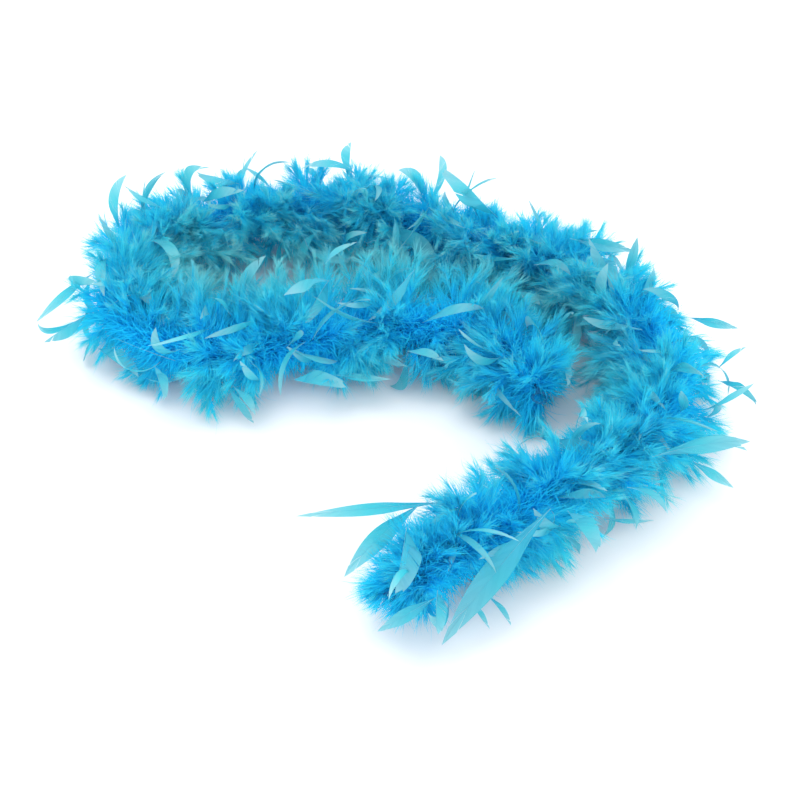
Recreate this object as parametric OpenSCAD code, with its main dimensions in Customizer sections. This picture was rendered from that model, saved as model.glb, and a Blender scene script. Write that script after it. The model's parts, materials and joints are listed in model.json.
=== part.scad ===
// Feather boa: a soft tube of down and vane feathers caught in a two-strand core.
// It lies in a loose loop on a flat surface, which is z = 0. Millimetres, +Z up.
// The origin is the middle of the bounding box, on that surface.
// The core is drawn as twelve equal stretches, each a straight rod or one arc,
// and each stretch meets the next at a bend.

/* [Core] */
// Length of the core from the end knot to the loop knot
core_length = 1800; // [1740:10:1820]
// Thickness of one strand
strand_d = 2.2; // [1.6:0.2:2.4]
// Length of the two cut tails past the end knot
tail_length = 16; // [8:1:20]
// Thickness of the knots
knot_d = 9; // [7:0.5:10]
// Inside width of the hanging loop
loop_w = 14; // [8:1:18]

/* [Down] */
// Radius of the down round the core
down_r = 50; // [44:1:51]
// Space left at each bend, from the bend to the end of the down
bend_gap = 5; // [4.5:0.5:8]

/* [Feathers] */
// Vane feathers on each stretch
feathers_each = 6; // [3:1:6]
// Reach of an ordinary vane feather, from the core to its tip
feather_reach = 70; // [60:1:74]
// Width of an ordinary vane
vane_w = 15; // [8:1:16]
// Thickness of a vane
vane_t = 0.6; // [0.4:0.1:1]
// Thickness of a quill at its root
quill_d = 1.8; // [1.2:0.1:2]

/* [Lie] */
// Place of the end knot, to the right of the middle
start_x = 31; // [21:1:41]
// Place of the end knot, behind the middle
start_y = -300; // [-312:1:-288]
// Direction in which the core leaves the end knot, in degrees
start_heading = 38; // [34:1:40]

/* [Hidden] */
// Left turn of each stretch in degrees, from the end knot to the loop knot
turns = [0, 0, 70, 35, 10, 20, 25, 60, 85, 40, -30, -75];
stretches = len(turns);
stretch_length = core_length / stretches;
// The two strands lie side by side, this far from the core's own line
strand_offset = strand_d / 2 + 0.05;
// Tunnel through the down in which the strands lie
tunnel_r = strand_d + 0.8;
// The strands stop this far short of each bend
strand_gap = 1.5;
// A quill starts just clear of the strands
quill_start = strand_d + 0.6;
// The round end of the down is slightly thinner than its tube, and starts this far inside it
end_step = 0.5;
end_seat = 1;
// The tunnel is this much wider in the round ends
mouth_step = 1.5;
// Angle between neighbouring feathers, seen along the core
feather_step = 26;
// Part of a stretch, in its middle, that carries feathers
feathered_part = 0.4;
// Points along each side of a vane's outline
vane_points = 7;
// Where a vane starts and where its quill ends, as parts of the feather's reach
vane_start = 0.45;
quill_part = 0.8;
// Ordinary feathers get shorter by this much, in turn, and lean this far forwards or back
reach_step = 4;
ordinary_lean = 6;
// The cut tails spread this far to each side, in degrees
tail_spread = 12;
// Longer feathers on the outside of the loop:
// [stretch, place along it from 0 to 1, angle round the core (0 up, 90 towards
// the inside of the turn), lean along the core, reach, width]
long_feathers = [
    [1, 0.30, 75, -55, 120, 12],
    [1, 0.40, -80, -35, 78, 14],
    [2, 0.55, 80, -40, 92, 12],
    [3, 0.30, -80, 10, 104, 14],
    [3, 0.70, -84, -10, 96, 16],
    [5, 0.45, -70, 20, 84, 15],
    [6, 0.60, -70, 0, 92, 12],
    [7, 0.50, -72, 10, 84, 14],
    [8, 0.40, -75, 10, 90, 14],
    [9, 0.25, -84, -10, 116, 18],
    [10, 0.40, -78, -15, 84, 15],
];

two_digits = function (n) str(n < 10 ? "0" : "", n);
$fn = 48;

// Heading of the core where stretch n starts
function heading(n) = n == 1 ? start_heading : heading(n - 1) + turns[n - 2];

// Radius of the arc that a bent stretch follows
function arc_r(n) = stretch_length / (abs(turns[n - 1]) * PI / 180);

// Straight distance from one end of stretch n to the other
function chord(n) = turns[n - 1] == 0 ? stretch_length : 2 * arc_r(n) * sin(abs(turns[n - 1]) / 2);

// Direction of that straight line
function chord_heading(n) = heading(n) + turns[n - 1] / 2;

// Point where stretch n starts
function start_of(n) = n == 1
    ? [start_x, start_y]
    : start_of(n - 1) + chord(n - 1) * [cos(chord_heading(n - 1)), sin(chord_heading(n - 1))];

// Half the width of a vane at t, from 0 at its base to 1 at its tip
function vane_half(t, width) = width / 2 * pow(sin(180 * pow(t, 0.65)), 0.8);

// Puts its children in the frame of stretch n: the core leaves along +X and turns towards +Y
module in_stretch(n) {
    at = start_of(n);
    translate([at.x, at.y, down_r])
        rotate([0, 0, heading(n)])
            mirror([0, turns[n - 1] < 0 ? 1 : 0, 0])
                children();
}

// Moves its children along the core, to a distance from the start of stretch n
module along(n, distance) {
    if (turns[n - 1] == 0) {
        translate([distance, 0, 0])
            children();
    } else {
        translate([0, arc_r(n), 0])
            rotate([0, 0, distance / arc_r(n) * 180 / PI])
                translate([0, -arc_r(n), 0])
                    children();
    }
}

// Sweeps a flat shape along stretch n, set to one side of the core's line
module sweep(n, from, to, side = 0) {
    if (turns[n - 1] == 0) {
        translate([from, side, 0])
            rotate([0, 90, 0])
                linear_extrude(height = to - from)
                    children();
    } else {
        degrees_per_mm = 180 / PI / arc_r(n);
        translate([0, arc_r(n), 0])
            rotate([0, 0, from * degrees_per_mm - 90])
                rotate_extrude(angle = (to - from) * degrees_per_mm)
                    translate([arc_r(n) - side, 0])
                        children();
    }
}

// Round end of the down, pointing along +X, with the tunnel for the strands
module down_end() {
    rotate([0, 90, 0])
        rotate_extrude()
            intersection() {
                translate([tunnel_r + mouth_step, -end_seat])
                    square([down_r, down_r + end_seat]);
                union() {
                    circle(r = down_r - end_step);
                    translate([0, -end_seat])
                        square([down_r - end_step, end_seat]);
                }
            }
}

// Down of one stretch, with the tunnel for the strands, which press into it where the core bends
module down(n) {
    first = down_r + bend_gap;
    last = stretch_length - first;
    color("#28a9d0")
        in_stretch(n) {
            sweep(n, first, last)
                difference() {
                    circle(r = down_r);
                    circle(r = tunnel_r);
                }
            along(n, last)
                down_end();
            along(n, first)
                rotate([0, 0, 180])
                    down_end();
        }
}

// One strand of the core along one stretch
module strand(n, side) {
    color("#1a86b7")
        in_stretch(n)
            sweep(n, strand_gap, stretch_length - strand_gap, side)
                circle(d = strand_d);
}

// Flat vane that stands along +Z on the XZ plane's normal, from its base to its tip
module vane(base, tip, width) {
    step = 1 / vane_points;
    right = [for (t = [0 : step : 1 + step / 2]) [vane_half(min(t, 1), width), base + (tip - base) * t]];
    left = [for (t = [1 - step : -step : step / 2]) [-vane_half(t, width), base + (tip - base) * t]];
    translate([-vane_t / 2, 0, 0])
        rotate([90, 0, 90])
            linear_extrude(height = vane_t)
                polygon(concat(right, left));
}

// Feather whose quill starts at the core: angle is round the core, lean is along it
module feather(n, place, angle, lean, reach, width) {
    root = (quill_start + quill_d / 2 * sin(abs(lean))) / cos(lean);
    along(n, place * stretch_length)
        rotate([-angle, 0, 0])
            rotate([0, lean, 0]) {
                translate([0, 0, root])
                    cylinder(h = reach * quill_part - root, r1 = quill_d / 2, r2 = quill_d / 6);
                vane(reach * vane_start, reach, width);
            }
}

// Vane feathers of one stretch, turned towards the outside of a bend
module feathers(n) {
    middle = -abs(turns[n - 1]) / 4;
    half_span = (feathers_each - 1) / 2;
    color("#8fd8ec")
        in_stretch(n) {
            for (k = [0 : feathers_each - 1]) {
                place = 0.5 + feathered_part * (k - half_span) / feathers_each;
                turn_round = ((k * (feathers_each - 1)) % feathers_each - half_span) * feather_step;
                reach = feather_reach - reach_step * (k % 3);
                lean = k % 2 == 0 ? -ordinary_lean : ordinary_lean;
                feather(n, place, middle + turn_round, lean, reach, vane_w);
            }
            for (f = long_feathers)
                if (f[0] == n)
                    feather(n, f[1], f[2], f[3], f[4], f[5]);
        }
}

// Knot that closes the twist at the open end
module end_knot() {
    color("#1778a8")
        in_stretch(1)
            sphere(d = knot_d);
}

// The strands' two cut ends past the knot, spread apart
module end_tails() {
    color("#1a86b7")
        in_stretch(1)
            for (side = [-1, 1])
                translate([-knot_d / 3, side * strand_offset, 0])
                    rotate([0, -90, -side * tail_spread])
                        cylinder(h = tail_length, r = strand_d / 2);
}

// Knot between the core and the hanging loop
module loop_knot() {
    color("#1778a8")
        in_stretch(stretches)
            along(stretches, stretch_length)
                sphere(d = knot_d);
}

// Loop of the same strand, left where the twist was doubled over its hook
module hanging_loop() {
    ring_r = (loop_w + strand_d) / 2;
    color("#1a86b7")
        in_stretch(stretches)
            along(stretches, stretch_length)
                translate([knot_d / 2 + ring_r - strand_d / 2, 0, 0])
                    rotate_extrude()
                        translate([ring_r, 0])
                            circle(d = strand_d);
}

for (n = [1 : stretches]) {
    down(n);
    strand(n, strand_offset);
    strand(n, -strand_offset);
    feathers(n);
}
end_knot();
end_tails();
loop_knot();
hanging_loop();
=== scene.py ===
"""A turquoise feather boa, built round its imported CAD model. Metres, +Z up, the boa lies on z = 0.

The boa is a core of two twisted strands. Down plumes and vane feathers are caught between them.
Every feather starts on the core's line, so the same line places all of them. A soft piece spans
one bend of the core, from the middle of one stretch to the middle of the next, curved round it.
"""
import json
import math

import bpy
import numpy as np
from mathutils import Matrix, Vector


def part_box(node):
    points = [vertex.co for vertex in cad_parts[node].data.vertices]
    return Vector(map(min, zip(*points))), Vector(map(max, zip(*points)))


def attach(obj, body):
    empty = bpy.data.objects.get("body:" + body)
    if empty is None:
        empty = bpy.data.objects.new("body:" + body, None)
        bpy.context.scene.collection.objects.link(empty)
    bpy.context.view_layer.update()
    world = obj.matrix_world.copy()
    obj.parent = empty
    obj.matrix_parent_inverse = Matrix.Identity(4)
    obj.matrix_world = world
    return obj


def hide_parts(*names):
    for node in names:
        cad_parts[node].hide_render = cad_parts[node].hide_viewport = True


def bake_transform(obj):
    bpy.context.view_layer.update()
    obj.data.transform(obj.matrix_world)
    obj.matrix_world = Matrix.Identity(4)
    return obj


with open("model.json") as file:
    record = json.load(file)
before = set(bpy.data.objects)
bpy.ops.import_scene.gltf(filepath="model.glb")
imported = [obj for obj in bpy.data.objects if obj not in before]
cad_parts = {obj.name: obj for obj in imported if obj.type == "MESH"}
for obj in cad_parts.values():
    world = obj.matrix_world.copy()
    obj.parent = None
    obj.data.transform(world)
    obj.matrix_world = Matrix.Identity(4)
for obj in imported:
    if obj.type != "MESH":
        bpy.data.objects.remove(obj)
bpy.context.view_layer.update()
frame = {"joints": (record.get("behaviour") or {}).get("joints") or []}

MM = 0.001
UP = np.array([0, 0, 1.0])
rng = np.random.default_rng(20)


# ---------------------------------------------------------------- the core's line

# Left turn of each stretch of the core, in degrees, from the end knot to the loop knot
TURNS = np.radians([0, 0, 70, 35, 10, 20, 25, 60, 85, 40, -30, -75])
STRETCHES = len(TURNS)


def middle(node):
    """Middle of a CAD node's box."""
    low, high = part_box(node)
    return np.array((low + high) / 2)


def core_starts():
    """Length of a stretch, and where each one starts and heads, from the end knot and first bend."""
    knot = middle("end_knot")
    first_bend = np.array(frame["joints"][0]["pos_m"])
    length = np.linalg.norm(first_bend - knot)
    points, headings = [knot], [math.atan2(first_bend[1] - knot[1], first_bend[0] - knot[0])]
    for turn in TURNS:
        chord = length * np.sinc(turn / 2 / np.pi)
        way = headings[-1] + turn / 2
        points.append(points[-1] + chord * np.array([math.cos(way), math.sin(way), 0]))
        headings.append(headings[-1] + turn)
    return length, np.array(points), np.array(headings)


STRETCH, STARTS, HEADINGS = core_starts()
CORE_LENGTH = STRETCH * STRETCHES


def unit(v):
    """Vectors scaled to length one."""
    return v / np.maximum(np.linalg.norm(v, axis=-1, keepdims=True), 1e-9)


def square_to(v, line):
    """What is left of v square to the unit vectors line, scaled to length one."""
    return unit(v - line * np.sum(v * line, -1, keepdims=True))


def core_at(distance):
    """Point, direction and left side of the core at distances from the end knot."""
    distance = np.atleast_1d(np.asarray(distance, float))
    n = np.clip((distance / STRETCH).astype(int), 0, STRETCHES - 1)
    inside = distance - n * STRETCH
    turned = TURNS[n] * inside / STRETCH
    way = HEADINGS[n] + turned / 2
    chord = inside * np.sinc(turned / 2 / np.pi)
    flat = np.zeros(len(distance))
    point = STARTS[n] + chord[:, None] * np.stack([np.cos(way), np.sin(way), flat], 1)
    heading = HEADINGS[n] + turned
    ahead = np.stack([np.cos(heading), np.sin(heading), flat], 1)
    left = np.stack([-np.sin(heading), np.cos(heading), flat], 1)
    return point, ahead, left


def spans():
    """Number, start, end and bodies of each length of the boa, cut in the middle of every stretch."""
    cuts = [0] + [(n + 0.5) * STRETCH for n in range(STRETCHES)] + [CORE_LENGTH]
    for n in range(STRETCHES + 1):
        bodies = [f"stretch_{m:02d}" for m in (n, n + 1) if 1 <= m <= STRETCHES]
        yield n, cuts[n], cuts[n + 1], bodies


def fasten(piece, bodies):
    """Makes a span's piece follow its stretch when it lies on one; a piece that crosses two is not
    fastened, and its place is baked into its mesh.
    """
    if len(bodies) == 1:
        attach(piece, bodies[0])
        return
    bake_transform(piece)


# ---------------------------------------------------------------- materials


def linear(hex_colour):
    """An sRGB hex colour as linear red, green, blue, alpha."""
    parts = [int(hex_colour[i:i + 2], 16) / 255 for i in (1, 3, 5)]
    return [p / 12.92 if p <= 0.04045 else ((p + 0.055) / 1.055) ** 2.4 for p in parts] + [1]


def node(tree, kind, links=(), values=(), **settings):
    """Adds a node. links are (input, output) pairs and values are (input, number) pairs."""
    made = tree.nodes.new(kind)
    for key, value in settings.items():
        setattr(made, key, value)
    for socket, value in values:
        made.inputs[socket].default_value = value
    for socket, output in links:
        tree.links.new(output, made.inputs[socket])
    return made


def ramp(tree, factor, stops):
    """A colour ramp read at factor; stops are (place, hex colour) pairs."""
    made = node(tree, "ShaderNodeValToRGB", [("Fac", factor)])
    elements = made.color_ramp.elements
    while len(elements) < len(stops):
        elements.new(0.5)
    for element, (place, colour) in zip(elements, stops):
        element.position = place
        element.color = linear(colour)
    return made.outputs["Color"]


# A colour Mix node's sockets, which share their names with its other modes' sockets
MIX_FACTOR, MIX_A, MIX_B, MIX_RESULT = 0, 6, 7, 2


FIBRE_IOR = 1.54  # of keratin, and of cotton


def fibre_material(name, root_to_tip, shades, see_through, roughness, shine):
    """A dyed fibre or vane. The UV's v runs from its root to its tip, and its u picks its own
    shade of the dye. see_through is how much light passes through it."""
    material = bpy.data.materials.new(name)
    material.use_nodes = True
    tree = material.node_tree
    tree.nodes.clear()
    uv = node(tree, "ShaderNodeUVMap", uv_map="OFBake").outputs["UV"]
    place = node(tree, "ShaderNodeSeparateXYZ", [("Vector", uv)]).outputs
    along = ramp(tree, place["Y"], root_to_tip)
    shade = ramp(tree, place["X"], shades)
    # In the down this colour holds painted shade near the core and painted highlight at the tips, as
    # well as the dye
    dyed = node(tree, "ShaderNodeMix", [(MIX_A, along), (MIX_B, shade)], [(MIX_FACTOR, 1)],
                data_type="RGBA", blend_type="MULTIPLY").outputs[MIX_RESULT]
    surface = node(tree, "ShaderNodeBsdfPrincipled", [("Base Color", dyed)],
                   [("Roughness", roughness), ("IOR", FIBRE_IOR), ("Specular IOR Level", shine)])
    lit_through = node(tree, "ShaderNodeBsdfTranslucent", [("Color", dyed)])
    mixed = node(tree, "ShaderNodeMixShader",
                 [(1, surface.outputs["BSDF"]), (2, lit_through.outputs["BSDF"])],
                 [("Fac", see_through)])
    node(tree, "ShaderNodeOutputMaterial", [("Surface", mixed.outputs["Shader"])])
    material.diffuse_color = linear(root_to_tip[-1][1])
    return material


# Marabou down: matt dyed fibres. Its ramp from root to tip holds painted shade, deep blue near the
# core where the fibres crowd, and pale tips that are partly the thin fibres' own colour and partly
# painted highlight
down_material = fibre_material(
    "marabou_down_dye_and_painted_light",
    [(0.0, "#1edcff"), (0.3, "#2ee4fd"), (0.62, "#50e4f1"), (1.0, "#98dee0")],
    [(0.0, "#d4f1fd"), (0.35, "#ecfaff"), (0.7, "#ffffff"), (1.0, "#ffffff")],
    see_through=0.5, roughness=0.8, shine=0.2)
# Turkey vane: smooth barbs that hook together into a satin sheet, thin and pale at its tip
vane_material = fibre_material(
    "dyed_turkey_vane",
    [(0.0, "#20bcda"), (0.5, "#4ccfdb"), (1.0, "#a2dae0")],
    [(0.0, "#bcdfe9"), (0.4, "#e0f1f6"), (0.8, "#ffffff"), (1.0, "#ffffff")],
    see_through=0.45, roughness=0.38, shine=0.6)
# Quill: hard, round and half clear, so it takes little dye
quill_material = fibre_material(
    "dyed_quill",
    [(0.0, "#a4e2f0"), (1.0, "#48c4e2")],
    [(0.0, "#d8ecf4"), (1.0, "#ffffff")],
    see_through=0.25, roughness=0.3, shine=0.5)
# Cotton string: matt spun fibres, drawn as slanting bands of light and dark
cord_material = fibre_material(
    "dyed_cotton_string",
    [(0.0, "#0f5f90"), (1.0, "#2a93c0")],
    [(0.0, "#cfe2ee"), (1.0, "#ffffff")],
    see_through=0.0, roughness=0.85, shine=0.2)


# ---------------------------------------------------------------- shapes modelled once

# Each shape is one long and about one wide: its points, its faces, and each point's shade

POINTED = 1e-4  # width of a row that closes to a point
MERGE_REACH = 0.002  # points of a shape nearer than this become one


def deselect():
    """Nothing selected, and Object mode."""
    if bpy.context.mode != "OBJECT":
        bpy.ops.object.mode_set(mode="OBJECT")
    bpy.ops.object.select_all(action="DESELECT")


def take_shape(shape):
    """A modelled shape as arrays; the shape itself is then removed."""
    mesh = shape.data
    points = np.array([v.co for v in mesh.vertices])
    faces = [list(p.vertices) for p in mesh.polygons]
    bpy.data.objects.remove(shape)
    bpy.data.meshes.remove(mesh)
    return points, faces, points[:, 1] + 0.5


def resize_row(x, reach, width):
    """Gives the vertices within reach of x another width, in edit mode."""
    bpy.ops.mesh.select_all(action="DESELECT")
    bpy.ops.object.mode_set(mode="OBJECT")
    for v in bpy.context.object.data.vertices:
        v.select = abs(v.co.x - x) < reach
    bpy.ops.object.mode_set(mode="EDIT")
    bpy.ops.transform.resize(value=(1, width, 1), center_override=(x, 0, 0))


def strip(name, widths):
    """A flat strip from x = 0 to x = 1, with the given width at each of its evenly spaced rows."""
    cells = len(widths) - 1
    deselect()
    bpy.ops.mesh.primitive_grid_add(x_subdivisions=cells, y_subdivisions=1, size=1,
                                    location=(0.5, 0, 0))
    bpy.ops.object.transform_apply(location=True)
    shape = bpy.context.object
    shape.name = name
    bpy.ops.object.mode_set(mode="EDIT")
    bpy.ops.mesh.select_mode(type="VERT")
    for row, width in enumerate(widths):
        resize_row(row / cells, 0.1 / cells, max(width, POINTED))
    bpy.ops.mesh.select_all(action="SELECT")
    bpy.ops.mesh.remove_doubles(threshold=MERGE_REACH)
    bpy.ops.object.mode_set(mode="OBJECT")
    return take_shape(shape)


def rod(name, tip, cuts):
    """A three-sided rod from x = 0 to x = 1, one thick at its root and tip thick at its end."""
    deselect()
    bpy.ops.mesh.primitive_cone_add(vertices=3, radius1=0.5, radius2=tip / 2, depth=1,
                                    rotation=(0, math.pi / 2, 0), location=(0.5, 0, 0))
    bpy.ops.object.transform_apply(location=True, rotation=True)
    shape = bpy.context.object
    shape.name = name
    bpy.ops.object.mode_set(mode="EDIT")
    for cut in range(1, cuts + 1):
        bpy.ops.mesh.select_all(action="SELECT")
        bpy.ops.mesh.bisect(plane_co=(cut / (cuts + 1), 0, 0), plane_no=(1, 0, 0))
    bpy.ops.object.mode_set(mode="OBJECT")
    return take_shape(shape)


BARB = strip("barb", [1.0, 0.95, 0.65, 0.0])
SHORT_BARB = strip("short_barb", [1.0, 0.9, 0.0])
SLAT = strip("slat", [1.0, 1.0, 1.0])
QUILL = rod("quill", 0.25, 5)
SLIP = 0.02  # how far a part of a split vane slides along the shaft
RUFFLE = 0.01  # how far a slat stands out of the sheet
TIP_SWEEP = 0.6  # slant of the slats at the tip, as a part of that at the root


def vane(slats, outline, sides, sweep, cup, splits):
    """A vane of slats, each a bundle of hooked barbs that slants from the shaft to the edge.
    outline gives the width of one of its sides at each place along it. sides is (1,) for a stripped
    feather, or (1, -1). Slats part from their neighbours at a few splits."""
    points, faces, shades = [], [], []
    part = np.cumsum(rng.random(slats) < splits / slats)
    slip = rng.normal(0, SLIP, part[-1] + 1)[part]
    for side in sides:
        for n in range(slats):
            x, y = SLAT[0][:, 0], SLAT[0][:, 1]
            root = (n + 0.5 + y) / slats
            width = np.array([outline(r) for r in root])
            reach = sweep * (1 - (1 - TIP_SWEEP) * root) + slip[n]
            placed = np.stack([(root + reach * x ** 1.3) / (1 + sweep * TIP_SWEEP),
                               side * width * x,
                               rng.normal(0, RUFFLE) * y - cup * x * x], 1)
            faces += [[v + len(points) for v in (f if side > 0 else f[::-1])] for f in SLAT[1]]
            points += list(placed)
            shades += [rng.uniform(0, 1)] * len(placed)
    return np.array(points), faces, np.array(shades)


def sabre(x):
    """Width of a narrow stripped vane that is widest in its first third."""
    return math.sin(math.pi * min(1, 0.12 + x * 0.9)) ** 0.8


def torn(x):
    """Width of a stripped vane that starts broad and narrows to a blunt, torn end."""
    return (1 - math.exp(-12 * x)) * (1 - 0.6 * x) * (1 - x ** 8)


def willow(x):
    """Half width of a long pointed vane."""
    return 0.5 * math.sin(math.pi * (0.06 + 0.94 * x) ** 0.8) ** 0.9


VANES = [
    vane(16, sabre, (1,), 0.26, 0.12, 2),
    vane(16, sabre, (1,), 0.32, 0.20, 3),
    vane(16, torn, (1,), 0.30, 0.18, 3),
    vane(14, willow, (1, -1), 0.28, 0.10, 2),
    vane(14, willow, (1, -1), 0.34, 0.16, 4),
]


# ---------------------------------------------------------------- copies laid along curves


class Curves:
    """Arcs that copies of a shape are laid along. Each leaves root in the direction ahead and
    turns by curl, in radians, towards toward. The shape is rolled about it, and twisted."""

    def __init__(self, root, ahead, toward, curl, roll, twist, length, width, tint, v_from, v_to):
        self.root, self.ahead, self.toward = root, ahead, toward
        self.curl, self.roll, self.twist = curl, roll, twist
        self.length, self.width = length, width
        self.tint, self.v_from, self.v_to = tint, v_from, v_to


STRAIGHT = 1e-3  # least curl, as an arc is divided by it
# Part of the dye's shades that the points of one barb or one vane are spread over
BARB_BAND = 0.1
VANE_BAND = 0.25


def lay_copies(shape, c, band=BARB_BAND):
    """Points, face corners, face sizes and UVs of one copy of shape along every arc of c."""
    points, faces, shade = shape
    x, y, z = points[:, 0], points[:, 1, None], points[:, 2, None]
    curl = np.where(np.abs(c.curl) < STRAIGHT, STRAIGHT, c.curl)[:, None]
    turned = (curl * x)[..., None]
    ahead, toward = c.ahead[:, None], c.toward[:, None]
    line = (np.sin(turned) * ahead + (1 - np.cos(turned)) * toward) / curl[..., None]
    across = np.cross(c.ahead, c.toward)[:, None]
    inward = np.cos(turned) * toward - np.sin(turned) * ahead
    roll = (c.roll[:, None] + c.twist[:, None] * x)[..., None]
    side = np.cos(roll) * across + np.sin(roll) * inward
    face = np.cos(roll) * inward - np.sin(roll) * across
    placed = (c.root[:, None] + c.length[:, None, None] * line
              + c.width[:, None, None] * (y * side + z * face))
    corners = np.concatenate([np.array(f) for f in faces])
    count = len(c.root)
    all_corners = (corners[None] + len(points) * np.arange(count)[:, None]).ravel()
    all_sizes = np.tile([len(f) for f in faces], count)
    u = c.tint[:, None] + band * shade[corners]
    v = c.v_from[:, None] + (c.v_to - c.v_from)[:, None] * x[corners]
    return placed.reshape(-1, 3), all_corners, all_sizes, np.stack([u, v], -1).reshape(-1, 2)


FLOOR_GAP = 2 * MM
FLOOR_SOFTNESS = 20 * MM  # height below which feathers bend up from the floor
TOP = 128 * MM
TOP_SOFTNESS = 12 * MM  # depth below the top from which feathers bow


def press_flat(points):
    """Feathers that would pass through the floor are pressed onto it, and the tallest ones bow."""
    z = points[:, 2]
    low = np.minimum(z - FLOOR_SOFTNESS, 0)
    points[:, 2] = np.where(z < FLOOR_SOFTNESS, FLOOR_GAP + (FLOOR_SOFTNESS - FLOOR_GAP) * np.exp(
        low / (FLOOR_SOFTNESS - FLOOR_GAP)), z)
    z = points[:, 2]
    high = np.maximum(z - (TOP - TOP_SOFTNESS), 0)
    points[:, 2] = z - high + TOP_SOFTNESS * (1 - np.exp(-high / TOP_SOFTNESS))


def make_piece(name, parts, material):
    """One mesh from laid copies, kept off the floor."""
    points = np.concatenate([p[0] for p in parts])
    starts = np.cumsum([0] + [len(p[0]) for p in parts[:-1]])
    corners = np.concatenate([p[1] + start for p, start in zip(parts, starts)])
    sizes = np.concatenate([p[2] for p in parts])
    uv = np.clip(np.concatenate([p[3] for p in parts]), 0, 1)
    press_flat(points)
    mesh = bpy.data.meshes.new(name)
    mesh.vertices.add(len(points))
    mesh.vertices.foreach_set("co", points.astype(np.float32).ravel())
    mesh.loops.add(len(corners))
    mesh.loops.foreach_set("vertex_index", corners.astype(np.int32))
    mesh.polygons.add(len(sizes))
    mesh.polygons.foreach_set("loop_start", (np.cumsum(sizes) - sizes).astype(np.int32))
    mesh.polygons.foreach_set("loop_total", sizes.astype(np.int32))
    mesh.polygons.foreach_set("use_smooth", np.ones(len(sizes), bool))
    mesh.uv_layers.new(name="OFBake").data.foreach_set("uv", uv.astype(np.float32).ravel())
    mesh.update(calc_edges=True)
    mesh.materials.append(material)
    piece = bpy.data.objects.new(name, mesh)
    bpy.context.scene.collection.objects.link(piece)
    return piece


# ---------------------------------------------------------------- down plumes

TUFT_STEP = 11.5 * MM  # length of core to a tuft
PLUMES_EACH = 10  # in a tuft
GOLDEN_TURN = math.radians(137.5)  # from one tuft to the next, so that they never line up
LOCKS_EACH = 17  # on a plume
BARBS_EACH = 13  # in a lock
BOA_R = 100 * MM  # reach of the down to its sides
END_R = 68 * MM  # the same at the end knot
TAPER = 240 * MM  # length of core over which the reach grows from one to the other
FLATNESS = 0.76  # reach upwards, as a part of that to the sides
LOOP_INSIDE = (420 * MM, 1700 * MM)  # the core has the inside of the loop on its left between these
INSIDE_GAIN = 0.5  # part that the reach grows by there
FILLING_SHARE = 0.46  # of the tufts there turn to fill the loop
FILLING_ANGLE = math.radians(68)  # from upright
END_TUFT = 80 * MM  # tufts nearer to the end knot than this lean out past it
END_LEAN = 0.9  # of the very last ones
STEM_ROOT = 2 * MM  # from the core's line
STEM_SHARE = 0.7  # of the reach, as the barbs go on past the stem's tip
STEM_WIDTH = 0.7 * MM
# Stems and barbs take their colour by depth in the down: painted shade near the core, painted
# highlight out at the tips
STEM_PALENESS = 0.6  # place of a stem's tip on the way from root colour to tip colour


def boa_radius(distance, angle):
    """How far the down reaches from the core: less near the end knot and upwards, and more
    inside the loop, where the runs of the boa press on each other."""
    part = np.clip(distance / TAPER, 0, 1)
    widest = END_R + (BOA_R - END_R) * part * (2 - part)
    inside = (distance > LOOP_INSIDE[0]) & (distance < LOOP_INSIDE[1])
    gain = 1 + INSIDE_GAIN * inside * np.maximum(np.sin(angle), 0)
    return widest * gain / np.hypot(np.sin(angle), np.cos(angle) / FLATNESS)


def out_from_core(angle, left):
    """Direction out from the core: angle 0 is up, and a quarter turn is left."""
    return np.cos(angle)[:, None] * UP + np.sin(angle)[:, None] * left


def plume_stems(start, end):
    """Stems of the down plumes of one span. They stand in tufts, and the tufts go round the core
    in a spiral. Some tufts inside the loop are turned to fill it."""
    tufts = round((end - start) / TUFT_STEP)
    count = tufts * PLUMES_EACH
    tuft = np.repeat(np.arange(tufts), PLUMES_EACH)
    distance = start + (np.arange(tufts) + rng.random(tufts)) / tufts * (end - start)
    angle = (distance / TUFT_STEP * GOLDEN_TURN + rng.normal(0, 0.3, tufts)) % (2 * math.pi)
    inside = (distance > LOOP_INSIDE[0]) & (distance < LOOP_INSIDE[1])
    filling = inside & (rng.random(tufts) < FILLING_SHARE)
    angle = np.where(filling, rng.normal(FILLING_ANGLE, 0.35, tufts), angle)
    lean = rng.normal(0, 0.3, tufts) - END_LEAN * np.maximum(0, 1 - distance / END_TUFT)
    reach = rng.uniform(0.8, 1.08, tufts)
    tint = rng.uniform(0.05, 0.75, tufts)

    distance = np.clip(distance[tuft] + rng.normal(0, 5, count) * MM, 0, CORE_LENGTH - MM)
    angle = angle[tuft] + rng.normal(0, 0.42, count)
    lean = (lean[tuft] + rng.normal(0, 0.3, count))[:, None]
    point, ahead, left = core_at(distance)
    out = out_from_core(angle, left)
    direction = out * np.cos(lean) + ahead * np.sin(lean)
    reach = boa_radius(distance, angle) * reach[tuft] * rng.uniform(0.75, 1.05, count)
    toward = square_to(rng.normal(size=(count, 3)) - 0.5 * UP, direction)
    zero = np.zeros(count)
    return Curves(point + STEM_ROOT * out, direction, toward, rng.uniform(0.1, 1.0, count),
                  rng.uniform(0, math.pi, count), zero, STEM_SHARE * reach, zero + STEM_WIDTH,
                  np.clip(tint[tuft] + rng.normal(0, 0.1, count), 0, 1 - BARB_BAND), zero,
                  zero + STEM_PALENESS)


ROOT_OPENING = 62  # degrees between a stem and its barbs at its root
TIP_OPENING = 24
SHORT_LOCK = 17  # mm, the barbs at a stem's two ends
LONG_LOCK = 33  # mm, the barbs halfway
STRAY_SHARE = 0.06  # of the barbs leave their lock
STRAY_GAIN = 0.35  # part that a stray is longer by


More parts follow.
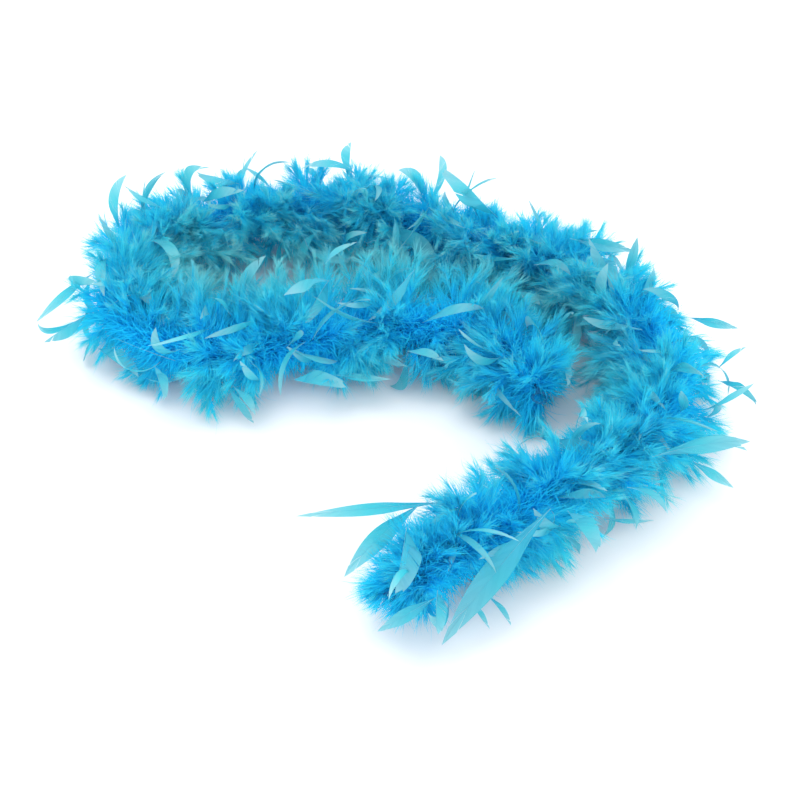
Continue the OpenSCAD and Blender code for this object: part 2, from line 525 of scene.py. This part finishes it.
def plume_barbs(stems):
    """Locks of barbs on both sides of every stem. They leave it at an angle and sweep forward,
    and the barbs of a lock run together."""
    count = len(stems.root)
    stem = np.repeat(np.arange(count), LOCKS_EACH)
    locks = len(stem)
    u = np.tile((np.arange(LOCKS_EACH) + 0.5) / LOCKS_EACH, count) + rng.normal(0, 0.03, locks)
    u = np.clip(0.15 + 0.88 * u, 0, 1) ** 0.85
    opening = np.radians(
        ROOT_OPENING - (ROOT_OPENING - TIP_OPENING) * u + rng.normal(0, 8, locks))
    turn = rng.integers(0, 2, locks) * math.pi + rng.normal(0, 0.55, locks)
    sweep = rng.normal(0.75, 0.35, locks) * (1 - 0.4 * u)
    growth = np.sin(math.pi * np.clip(u, 0, 1) ** 0.8)
    size = (SHORT_LOCK + (LONG_LOCK - SHORT_LOCK) * growth) * rng.uniform(0.75, 1.2, locks) * MM
    tint = stems.tint[stem] + rng.normal(0, 0.12, locks)
    paleness = rng.normal(0, 0.1, locks)

    lock = np.repeat(np.arange(locks), BARBS_EACH)
    total = len(lock)
    stem = stem[lock]
    u = np.clip(u[lock] + rng.normal(0, 0.035, total), 0, 1)
    turned = (stems.curl[stem] * u)[:, None]
    curl = stems.curl[stem, None]
    ahead, toward = stems.ahead[stem], stems.toward[stem]
    root = stems.root[stem] + stems.length[stem, None] * (
        np.sin(turned) * ahead + (1 - np.cos(turned)) * toward) / curl
    along = np.cos(turned) * ahead + np.sin(turned) * toward
    inward = np.cos(turned) * toward - np.sin(turned) * ahead
    across = np.cross(ahead, toward)
    roll = stems.roll[stem, None]
    first = np.cos(roll) * across + np.sin(roll) * inward
    second = np.cos(roll) * inward - np.sin(roll) * across
    turn = (turn[lock] + rng.normal(0, 0.16, total))[:, None]
    opening = (opening[lock] + rng.normal(0, 0.10, total))[:, None]
    outward = np.cos(turn) * first + np.sin(turn) * second
    way = np.cos(opening) * along + np.sin(opening) * outward
    stray = rng.random(total) < STRAY_SHARE
    curl = sweep[lock] + rng.normal(0, 0.2, total) + stray * rng.normal(0, 1, total)
    length = size[lock] * rng.uniform(0.5, 1.15, total) * (1 + STRAY_GAIN * stray)
    depth = u * stems.length[stem] / (STEM_SHARE * BOA_R)
    # Painted shade and highlight: the deeper a barb sits in the down, the nearer it is to the ramp's
    # deep root colour
    v_from = np.clip(STEM_PALENESS * depth - 0.05 + paleness[lock], 0, 1)
    v_to = np.clip(v_from + 0.42, 0, 1)
    return Curves(root, way, square_to(along + 0.1 * rng.normal(size=(total, 3)), way), curl,
                  rng.uniform(0, math.pi, total), rng.normal(0, 0.5, total), length,
                  (rng.uniform(0.6, 1.0, total) - 0.35 * np.clip(depth, 0, 1) - 0.15 * stray) * MM,
                  np.clip(tint[lock] + rng.normal(0, 0.06, total), 0, 1 - BARB_BAND),
                  v_from, v_to)


UNDERDOWN_PER_MM = 26  # short barbs to a millimetre of core


def underdown(start, end):
    """Short, crowded barbs that hide the core."""
    count = round((end - start) / MM * UNDERDOWN_PER_MM)
    distance = rng.uniform(start, end, count)
    point, ahead, left = core_at(distance)
    out = out_from_core(rng.uniform(-math.pi, math.pi, count), left)
    way = unit(out + rng.normal(0, 0.5, (count, 3)))
    zero = np.zeros(count)
    # They take the deep root end of the down's colour ramp, painted shade round the core
    return Curves(point + out * rng.uniform(2, 14, (count, 1)) * MM, way,
                  square_to(rng.normal(size=(count, 3)), way), rng.uniform(0.2, 1.4, count),
                  rng.uniform(0, math.pi, count), rng.normal(0, 0.5, count),
                  rng.uniform(20, 38, count) * MM, rng.uniform(0.9, 1.6, count) * MM,
                  rng.uniform(0, 0.6, count), zero, zero + 0.35)


def make_down(n, start, end):
    """Down of one span, with the plumes' stems."""
    stems = plume_stems(start, end)
    parts = [lay_copies(BARB, plume_barbs(stems)), lay_copies(BARB, stems),
             lay_copies(SHORT_BARB, underdown(start, end))]
    return make_piece(f"down_plumes_{n:02d}", parts, down_material)


# ---------------------------------------------------------------- vane feathers

VANES_PER_MM = 0.1  # of core
VANE_SHARES = [0.36, 0.34, 0.06, 0.14, 0.1]  # of each shape in VANES


def vane_curves(start, end):
    """Arcs of the vane feathers of one span: they leave the down anywhere but below."""
    count = round((end - start) / MM * VANES_PER_MM)
    distance = rng.uniform(start, end, count)
    point, ahead, left = core_at(distance)
    angle = rng.uniform(-2.0, 2.0, count)
    out = out_from_core(angle, left)
    around = np.cross(ahead, out)
    lean = rng.uniform(0, 2 * math.pi, count)[:, None]
    along = np.cos(lean) * ahead + np.sin(lean) * around
    direction = unit(out * rng.uniform(0.25, 1.0, (count, 1))
                     + along * rng.uniform(0.3, 1.0, (count, 1)))
    root = point + out * (boa_radius(distance, angle) * rng.uniform(0.2, 0.5, count))[:, None]
    toward = square_to(-out + 0.7 * rng.normal(size=(count, 3)), direction)
    length = rng.uniform(42, 85, count) * MM
    zero = np.zeros(count)
    return Curves(root, direction, toward, rng.uniform(0.5, 2.3, count), rng.normal(0, 0.7, count),
                  rng.normal(0, 0.6, count), length, rng.uniform(6, 13, count) * MM,
                  rng.uniform(0, 1 - VANE_BAND, count), zero, zero + 1)


SABRE, HOOK, TORN, WILLOW, FRAYED = range(len(VANES))
LONG_VANES = [
    # (place along the core in mm, angle round it with 0 up, distance from it in mm, bearing in the
    # plane that faces up and forward with 0 right and 90 up, length, width, curl to the left, kind)
    (0, -60, 50, -150, 60, 13, 0.0, WILLOW),
    (0, -50, 60, -97, 40, 13, 0.2, TORN),
    (10, 10, 65, -98, 62, 22, -0.1, TORN),
    (40, -100, 45, -65, 34, 5, 0.3, SABRE),
    (50, 50, 56, -145, 98, 19, 0.3, WILLOW),
    (60, -110, 50, -47, 36, 5, -0.2, SABRE),
    (70, 50, 48, -175, 138, 13, 0.0, WILLOW),
    (130, -40, 76, -133, 160, 25, 0.15, WILLOW),
    (150, -50, 68, -55, 48, 20, 0.0, TORN),
    (200, 50, 52, -32, 74, 13, 0.7, SABRE),
    (210, -110, 50, -6, 50, 8, 0.2, FRAYED),
    (220, -60, 70, -7, 46, 6, -0.9, HOOK),
    (230, -80, 50, -55, 38, 6, -0.5, HOOK),
    (260, -50, 70, 18, 95, 17, -0.3, FRAYED),
    (320, -100, 55, -32, 50, 10, 0.0, WILLOW),
    (340, -85, 50, -27, 46, 8, 0.2, SABRE),
    (390, -70, 50, -23, 50, 13, -0.3, TORN),
    (400, -65, 52, 37, 36, 6, 0.0, SABRE),
    (450, -40, 48, -12, 54, 11, 0.0, WILLOW),
    (570, -10, 45, -66, 36, 14, 0.2, TORN),
    (610, -10, 48, -11, 74, 14, 0.0, WILLOW),
    (620, 50, 70, 12, 44, 8, -1.0, HOOK),
    (700, 0, 45, 138, 100, 22, -0.3, TORN),
    (850, 80, 68, 27, 107, 19, -2.1, HOOK),
    (880, -10, 52, 125, 76, 12, 1.7, SABRE),
    (890, -10, 50, 86, 48, 11, 0.0, SABRE),
    (940, 80, 68, -76, 75, 14, 1.9, HOOK),
    (1000, 100, 52, 56, 46, 7, 0.0, SABRE),
    (1020, 0, 48, 160, 54, 17, 0.2, TORN),
    (1120, 10, 48, 149, 56, 9, 0.0, SABRE),
    (1240, -30, 48, -145, 84, 10, 0.2, WILLOW),
    (1290, -50, 68, -148, 52, 11, 0.0, SABRE),
    (1290, -95, 48, -41, 60, 18, 0.2, TORN),
    (1350, -75, 48, -75, 40, 15, 0.0, TORN),
    (1420, 50, 50, 59, 64, 13, 0.0, SABRE),
    (1420, -95, 50, -59, 38, 9, 0.2, SABRE),
    (1470, -95, 48, -15, 62, 19, 0.2, TORN),
    (1510, -100, 52, -8, 64, 9, 0.1, WILLOW),
    (1530, 10, 68, 155, 56, 13, 1.5, HOOK),
    (1530, 10, 70, -124, 56, 16, 0.1, TORN),
    (1530, 30, 78, 48, 55, 8, 0.0, SABRE),
    (1610, -70, 68, -16, 40, 9, 0.0, SABRE),
    (1620, 20, 68, -132, 75, 11, 0.0, SABRE),
]


def long_vane_curves(start, end):
    """Arcs of the long vane feathers that leave one span, and which vane each has."""
    rows = np.array([row for row in LONG_VANES if start <= row[0] * MM < end]).reshape(-1, 8)
    distance, angle, off, bearing, length, width, curl, kind = rows.T
    point, _, left = core_at(distance * MM)
    root = point + out_from_core(np.radians(angle), left) * off[:, None] * MM
    bearing = np.radians(bearing)[:, None]
    right, rise = np.array([1, 0, 0]), np.array([0, math.sqrt(0.5), math.sqrt(0.5)])
    count = len(rows)
    zero = np.zeros(count)
    curves = Curves(root, np.cos(bearing) * right + np.sin(bearing) * rise,
                    np.cos(bearing) * rise - np.sin(bearing) * right, curl,
                    math.pi / 2 + rng.normal(0, 0.3, count), rng.normal(0, 0.4, count),
                    length * MM, width * MM, rng.uniform(0.2, 1 - VANE_BAND, count), zero, zero + 1)
    return curves, kind.astype(int)


def pick(c, mask):
    """The arcs of c that mask picks."""
    return Curves(*(getattr(c, name)[mask] for name in (
        "root", "ahead", "toward", "curl", "roll", "twist", "length", "width", "tint",
        "v_from", "v_to")))


QUILL_WIDTH = 0.6 * MM
QUILL_SHARE = 0.85  # of the vane's length, as the vane's barbs pass its tip


def make_vanes(n, start, end):
    """Flat, curled vane feathers of one span, with their quills."""
    short = vane_curves(start, end)
    short_kind = rng.choice(len(VANES), len(short.root), p=VANE_SHARES)
    long, long_kind = long_vane_curves(start, end)
    vane_parts, quill_parts = [], []
    for c, kind in ((short, short_kind), (long, long_kind)):
        vane_parts += [lay_copies(shape, pick(c, kind == k), VANE_BAND)
                       for k, shape in enumerate(VANES)]
        c.width = np.full(len(c.root), QUILL_WIDTH)
        c.length, c.curl, c.twist = (QUILL_SHARE * a for a in (c.length, c.curl, c.twist))
        quill_parts.append(lay_copies(QUILL, c))
    vanes = make_piece(f"vane_feathers_{n:02d}", vane_parts, vane_material)
    quills = make_piece(f"quills_{n:02d}", quill_parts, quill_material)
    return vanes, quills


# ---------------------------------------------------------------- strands, knots, tails and loop

STRAND_R = 1.1 * MM
TWIST_PITCH = 14 * MM  # length of core to one turn of the strands
RING_STEP = 1.5 * MM
TUBE_SIDES = 8
KNOT_R = 1.6 * MM  # of the strands in a knot, where they are doubled
LOOP_R = 0.75 * MM  # of each strand in the hanging loop
LOOP_TWISTS = 5
FRAYED_FIBRES = 14
FIBRE_WIDTH = 0.35 * MM
FIBRE_LAY = 0.11  # part of a turn that the fibres of a strand take from one ring to the next


def tube(line, radius, closed=False):
    """A tube swept along line, whose radius is one number or one for each point."""
    count = len(line)
    steps = np.roll(line, -1, 0) - np.roll(line, 1, 0) if closed else np.gradient(line, axis=0)
    tangent = unit(steps)
    side = square_to(np.array([0.3, 0.2, 1.0]), tangent[0])
    sides = []
    for t in tangent:
        side = square_to(side, t)
        sides.append(side)
    sides = np.array(sides)
    around = np.arange(TUBE_SIDES) / TUBE_SIDES * 2 * math.pi
    others = np.cross(tangent, sides)
    radius = np.broadcast_to(radius, count)[:, None, None]
    points = line[:, None] + radius * (np.cos(around)[None, :, None] * sides[:, None]
                                       + np.sin(around)[None, :, None] * others[:, None])
    corners, v = [], []
    for ring in range(count if closed else count - 1):
        for j in range(TUBE_SIDES):
            for r, k in ((ring, j), (ring, j + 1), (ring + 1, j + 1), (ring + 1, j)):
                corners.append(r % count * TUBE_SIDES + k % TUBE_SIDES)
                v.append(abs(2 * ((k / TUBE_SIDES * 2 + r * FIBRE_LAY) % 1) - 1))
    sizes = [4] * (len(corners) // 4)
    if not closed:
        for ring, way in ((0, -1), (count - 1, 1)):
            corners += [ring * TUBE_SIDES + k for k in range(TUBE_SIDES)][::way]
            v += [0.5] * TUBE_SIDES
            sizes.append(TUBE_SIDES)
    uv = np.stack([np.full(len(v), 0.5), np.array(v)], 1)
    return points.reshape(-1, 3), np.array(corners), np.array(sizes), uv


def twisted(line, side, turn, gap):
    """A line moved off to one side of another, by gap, and turned round it by turn."""
    return line + gap * (np.cos(turn)[:, None] * side + np.sin(turn)[:, None] * UP)


def make_strands(n, start, end):
    """The two strands of the core in one span, twisted round each other."""
    distance = np.linspace(start, end, round((end - start) / RING_STEP) + 1)
    point, _, left = core_at(np.clip(distance, 0, CORE_LENGTH - 1e-6))
    made = []
    for name, phase in (("a", 0), ("b", math.pi)):
        line = twisted(point, left, 2 * math.pi * distance / TWIST_PITCH + phase, STRAND_R)
        made.append(make_piece(f"twisted_strand_{name}_{n:02d}", [tube(line, STRAND_R)],
                               cord_material))
    return made


def make_knot(node_name, name):
    """An overhand knot, pulled tight: a trefoil."""
    low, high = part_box(node_name)
    t = np.linspace(0, 2 * math.pi, 96, endpoint=False)
    trefoil = np.stack([np.sin(t) + 2 * np.sin(2 * t), np.cos(t) - 2 * np.cos(2 * t),
                        -np.sin(3 * t)], 1)
    size = (high[0] - low[0]) / 2 - KNOT_R
    knot = make_piece(name, [tube(middle(node_name) + trefoil / 3 * size, KNOT_R, closed=True)],
                      cord_material)
    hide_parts(node_name)
    return knot


def make_tails():
    """The strands' two cut ends, which untwist past the knot and fray."""
    knot = middle("end_knot")
    _, ahead, left = core_at(0)
    low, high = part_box("end_tails")
    length = np.linalg.norm((high - low)[:2]) * 0.9
    t = np.linspace(0, 1, 12)[:, None]
    parts = []
    for hand in (1, -1):
        apart = hand * left * (0.22 * length * t * t + STRAND_R)
        line = knot - ahead * length * t + apart - UP * 4 * MM * t * t
        parts.append(tube(line, STRAND_R * (1 - 0.3 * t[:, 0])))
        way = unit(-ahead + 0.35 * rng.normal(size=(FRAYED_FIBRES, 3)))
        toward = square_to(rng.normal(size=(FRAYED_FIBRES, 3)), way)
        zero = np.zeros(FRAYED_FIBRES)
        parts.append(lay_copies(BARB, Curves(
            np.repeat(line[-2:-1], FRAYED_FIBRES, 0), way, toward,
            rng.uniform(0, 1, FRAYED_FIBRES), zero, zero,
            rng.uniform(3, 6, FRAYED_FIBRES) * MM, zero + FIBRE_WIDTH, zero + 0.5, zero, zero + 1)))
    tails = make_piece("frayed_tails", parts, cord_material)
    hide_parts("end_tails")
    return tails


def make_loop():
    """The hanging loop: the strands, twisted on, bent round to the knot."""
    low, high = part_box("hanging_loop")
    centre = middle("hanging_loop")
    t = np.linspace(0, 2 * math.pi, 80, endpoint=False)
    radial = np.stack([np.cos(t), np.sin(t), np.zeros(len(t))], 1)
    ring = centre + ((high[0] - low[0]) / 2 - 2 * LOOP_R) * radial
    parts = [tube(twisted(ring, radial, LOOP_TWISTS * t + phase, LOOP_R), LOOP_R, closed=True)
             for phase in (0, math.pi)]
    loop = make_piece("twisted_hanging_loop", parts, cord_material)
    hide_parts("hanging_loop")
    return loop


# ---------------------------------------------------------------- camera, floor and light


def make_camera():
    """Looks down at 45 degrees, at a point a little in front of the middle of the boa's box."""
    elevation = math.radians(45)
    target = np.array([26, -60, 50]) * MM
    distance = 1.40
    camera = bpy.data.objects.new("camera", bpy.data.cameras.new("camera"))
    camera.data.lens = 60
    camera.data.sensor_width = 36
    camera.location = target + distance * np.array([0, -math.cos(elevation), math.sin(elevation)])
    camera.rotation_euler = (math.pi / 2 - elevation, 0, 0)
    bpy.context.scene.collection.objects.link(camera)
    bpy.context.scene.camera = camera


def make_floor():
    """A wide sheet of matt white studio paper."""
    deselect()
    bpy.ops.mesh.primitive_plane_add(size=12)
    floor = bpy.context.object
    floor.name = "floor"
    paper = bpy.data.materials.new("matt_studio_paper")
    paper.use_nodes = True
    shader = paper.node_tree.nodes["Principled BSDF"]
    shader.inputs["Base Color"].default_value = linear("#f4f5f7")
    shader.inputs["Roughness"].default_value = 0.95
    floor.data.materials.append(paper)


def make_light(name, at, size, power):
    """A square softbox that points at the boa."""
    lamp = bpy.data.lights.new(name, "AREA")
    lamp.size = size
    lamp.energy = power
    box = bpy.data.objects.new(name, lamp)
    box.location = at
    box.rotation_euler = (-box.location).to_track_quat("-Z", "Y").to_euler()
    bpy.context.scene.collection.objects.link(box)


def make_world(strength):
    """Even white light from all sides."""
    world = bpy.data.worlds.new("white_studio")
    world.use_nodes = True
    back = world.node_tree.nodes["Background"]
    back.inputs["Color"].default_value = linear("#ffffff")
    back.inputs["Strength"].default_value = strength
    bpy.context.scene.world = world


make_camera()
make_floor()
make_world(1.22)
make_light("overhead_softbox", (-0.5, 0.6, 2.4), 1.6, 18)
make_light("front_softbox", (0.9, -1.8, 1.8), 1.4, 10)
bpy.context.scene.view_settings.view_transform = "Standard"

for n, start, end, bodies in spans():
    down = make_down(n, start, end)
    vanes, quills = make_vanes(n, start, end)
    strand_a, strand_b = make_strands(n, start, end)
    for piece in (down, vanes, quills, strand_a, strand_b):
        fasten(piece, bodies)
    if n < STRETCHES:
        stand_ins = {"down": down, "feathers": vanes, "strand_a": strand_a, "strand_b": strand_b}
        for kind, piece in stand_ins.items():
            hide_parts(f"{kind}_{n + 1:02d}")

for piece in (make_knot("end_knot", "tied_end_knot"), make_tails()):
    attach(piece, "stretch_01")
for piece in (make_knot("loop_knot", "tied_loop_knot"), make_loop()):
    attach(piece, "stretch_12")
